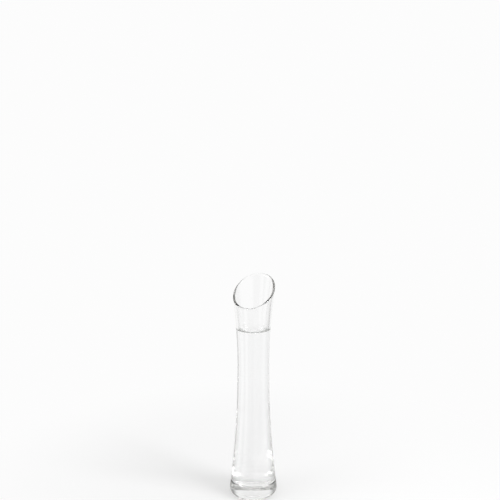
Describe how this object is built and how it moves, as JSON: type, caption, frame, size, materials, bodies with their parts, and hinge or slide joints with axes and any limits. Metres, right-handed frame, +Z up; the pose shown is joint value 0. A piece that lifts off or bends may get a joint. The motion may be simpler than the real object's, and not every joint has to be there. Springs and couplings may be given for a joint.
{
  "type": "glass bud vase",
  "caption": "Slim clear glass bud vase with a drawn-in waist, a thick rounded base and a slanted fire-polished mouth, part filled with water to hold cut flower stems.",
  "frame": {"origin": "middle of the foot ring, on the plane that the vase stands on", "axes": "+Z up along the vase's axis; the viewer of the picture looks along +Y, with +X to the right"},
  "size_m": [0.0428, 0.0428, 0.2],
  "materials": {
    "clear_glass": "clear, fire polished",
    "water": "clear, still"
  },
  "bodies": {
    "root": {"glass_vase": "clear_glass", "water": "water"}
  },
  "joints": []
}
